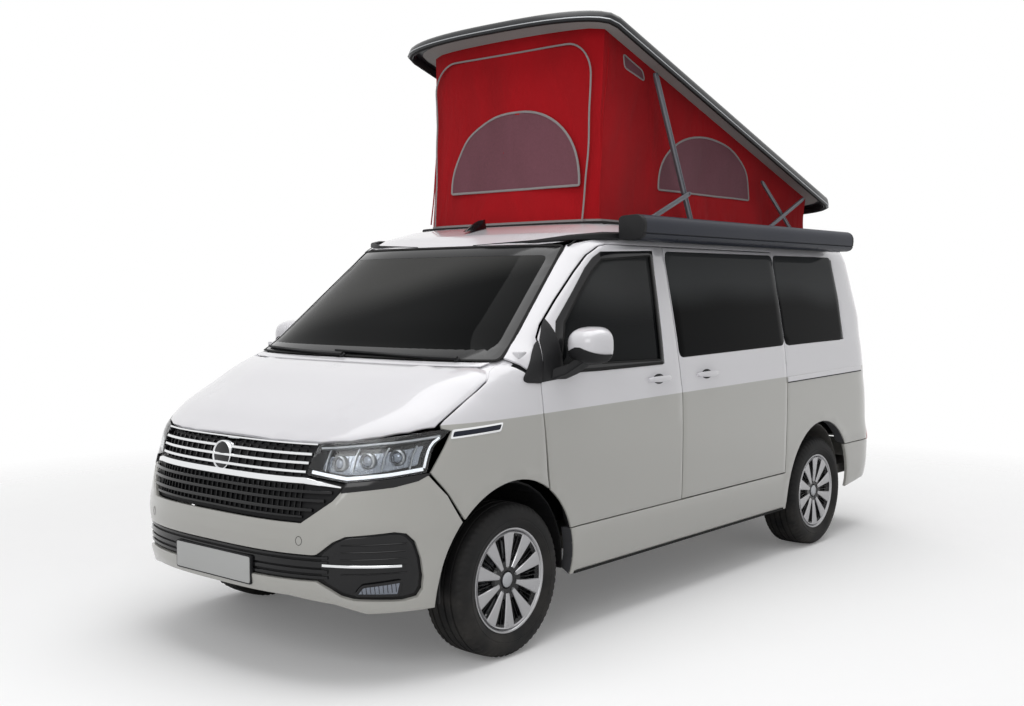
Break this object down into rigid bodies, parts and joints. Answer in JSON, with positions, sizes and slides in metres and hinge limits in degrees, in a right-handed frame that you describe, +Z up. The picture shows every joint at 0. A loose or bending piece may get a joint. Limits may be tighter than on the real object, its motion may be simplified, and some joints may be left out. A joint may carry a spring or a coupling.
{
  "type": "camper van",
  "caption": "Camper van with a raised pop-up roof over a canvas tent, folding lift arms, awning cassette, hinged doors, bonnet and tailgate, and steered front wheels.",
  "frame": {"origin": "on the ground under the middle of the van's box", "axes": "+Z up, +X towards the rear, the front at -X, the van's left side at -Y"},
  "size_m": [4.9004, 2.294, 3.0557],
  "materials": {
    "upper_paint": "gloss white",
    "lower_paint": "gloss pale grey",
    "dark_glass": "dark tint",
    "lamp_lens": "clear",
    "red_lens": "clear red",
    "gloss_black": "gloss",
    "black_trim": "fine grain",
    "grey_steel": "satin",
    "tyre_rubber": "matt",
    "machined_alloy": "machined",
    "red_canvas": "woven, coated",
    "seat_cloth": "woven",
    "pale_board": "laminate",
    "floor_sheet": "matt"
  },
  "bodies": {
    "chassis": {"awning_cassette": "black_trim", "dashboard": "black_trim", "engine_block": "grey_steel", "floor_pan": "floor_sheet", "front_bumper": "lower_paint", "front_structure": "black_trim", "front_subframe": "grey_steel", "grille": "gloss_black", "kitchen_unit": "pale_board", "left_body_side": "upper_paint", "left_fender": "upper_paint", "left_front_seat": "seat_cloth", "left_headlamp": "lamp_lens", "left_quarter_glass": "dark_glass", "left_tail_lamp": "red_lens", "rear_axle": "grey_steel", "rear_bench": "seat_cloth", "rear_bumper": "lower_paint", "right_body_side": "upper_paint", "right_fender": "upper_paint", "right_front_seat": "seat_cloth", "right_headlamp": "lamp_lens", "right_side_glass": "dark_glass", "right_tail_lamp": "red_lens", "roof_skin": "upper_paint", "sliding_door": "upper_paint", "sliding_door_glass": "dark_glass", "tent": "red_canvas", "windscreen": "dark_glass"},
    "left_door": {"left_door": "upper_paint", "left_door_glass": "dark_glass", "left_mirror": "upper_paint"},
    "right_door": {"right_door": "upper_paint", "right_door_glass": "dark_glass", "right_mirror": "upper_paint"},
    "bonnet": {"bonnet": "upper_paint"},
    "tailgate": {"tailgate": "upper_paint", "tailgate_glass": "dark_glass"},
    "pop_roof": {"roof_shell": "gloss_black"},
    "lift_struts": {"left_lift_strut": "grey_steel", "right_lift_strut": "grey_steel"},
    "lift_stays": {"left_lift_stay": "grey_steel", "right_lift_stay": "grey_steel"},
    "cross_arms": {"left_cross_arm": "grey_steel", "right_cross_arm": "grey_steel"},
    "brace_arms": {"left_brace_arm": "grey_steel", "right_brace_arm": "grey_steel"},
    "left_knuckle": {"left_knuckle": "grey_steel"},
    "right_knuckle": {"right_knuckle": "grey_steel"},
    "front_left_wheel": {"front_left_tyre": "tyre_rubber", "front_left_rim": "machined_alloy"},
    "front_right_wheel": {"front_right_tyre": "tyre_rubber", "front_right_rim": "machined_alloy"},
    "rear_left_wheel": {"rear_left_tyre": "tyre_rubber", "rear_left_rim": "machined_alloy"},
    "rear_right_wheel": {"rear_right_tyre": "tyre_rubber", "rear_right_rim": "machined_alloy"},
    "steering_wheel": {"steering_wheel": "black_trim"}
  },
  "joints": [
    {"name": "left_door_hinge", "type": "hinge", "parent": "chassis", "child": "left_door", "pos_m": [-1.275, -0.925, 1], "axis": [0, 0, -1], "range_deg": [0, 65]},
    {"name": "right_door_hinge", "type": "hinge", "parent": "chassis", "child": "right_door", "pos_m": [-1.275, 0.925, 1], "axis": [0, 0, 1], "range_deg": [0, 65]},
    {"name": "bonnet_hinge", "type": "hinge", "parent": "chassis", "child": "bonnet", "pos_m": [-1.47, 0, 1.285], "axis": [0, 1, 0], "range_deg": [0, 45]},
    {"name": "tailgate_hinge", "type": "hinge", "parent": "chassis", "child": "tailgate", "pos_m": [2.2445, 0, 1.852], "axis": [0, -1, 0], "range_deg": [0, 85]},
    {"name": "pop_roof_hinge", "type": "hinge", "parent": "chassis", "child": "pop_roof", "pos_m": [2.478, 0, 2], "axis": [0, 1, 0], "range_deg": [-17.8, 0], "deforming": ["tent"]},
    {"name": "strut_pivot", "type": "hinge", "parent": "chassis", "child": "lift_struts", "pos_m": [0.345, 0, 1.995], "axis": [0, 1, 0], "range_deg": [-65.1, 0]},
    {"name": "stay_pivot", "type": "hinge", "parent": "chassis", "child": "lift_stays", "pos_m": [-0.16, 0, 1.982], "axis": [0, 1, 0], "range_deg": [0, 20.6]},
    {"name": "cross_arm_pivot", "type": "hinge", "parent": "chassis", "child": "cross_arms", "pos_m": [1.596, 0, 1.99], "axis": [0, 1, 0], "range_deg": [-34.1, 0]},
    {"name": "brace_arm_pivot", "type": "hinge", "parent": "chassis", "child": "brace_arms", "pos_m": [1.18, 0, 1.984], "axis": [0, 1, 0], "range_deg": [0, 22.1]},
    {"name": "left_steer", "type": "hinge", "parent": "chassis", "child": "left_knuckle", "pos_m": [-1.544, -0.742, 0.342], "axis": [0, 0, 1], "range_deg": [-35, 35]},
    {"name": "right_steer", "type": "hinge", "parent": "chassis", "child": "right_knuckle", "pos_m": [-1.544, 0.742, 0.342], "axis": [0, 0, 1], "range_deg": [-35, 35]},
    {"name": "steering_wheel_turn", "type": "hinge", "parent": "chassis", "child": "steering_wheel", "pos_m": [-0.93, 0.42, 1.09], "axis": [0.89, 0, 0.456], "range_deg": [-490, 490]},
    {"name": "front_left_roll", "type": "hinge", "parent": "left_knuckle", "child": "front_left_wheel", "pos_m": [-1.544, -0.814, 0.342], "axis": [0, 1, 0], "continuous": true},
    {"name": "front_right_roll", "type": "hinge", "parent": "right_knuckle", "child": "front_right_wheel", "pos_m": [-1.544, 0.814, 0.342], "axis": [0, 1, 0], "continuous": true},
    {"name": "rear_left_roll", "type": "hinge", "parent": "chassis", "child": "rear_left_wheel", "pos_m": [1.456, -0.814, 0.342], "axis": [0, 1, 0], "continuous": true},
    {"name": "rear_right_roll", "type": "hinge", "parent": "chassis", "child": "rear_right_wheel", "pos_m": [1.456, 0.814, 0.342], "axis": [0, 1, 0], "continuous": true}
  ],
  "couplings": [
    {"joint": "strut_pivot", "follows": "pop_roof_hinge", "ratio": 3.6517},
    {"joint": "stay_pivot", "follows": "pop_roof_hinge", "ratio": -1.1517},
    {"joint": "cross_arm_pivot", "follows": "pop_roof_hinge", "ratio": 1.9101},
    {"joint": "brace_arm_pivot", "follows": "pop_roof_hinge", "ratio": -1.236},
    {"joint": "right_steer", "follows": "left_steer", "ratio": 1},
    {"joint": "steering_wheel_turn", "follows": "left_steer", "ratio": 14}
  ]
}
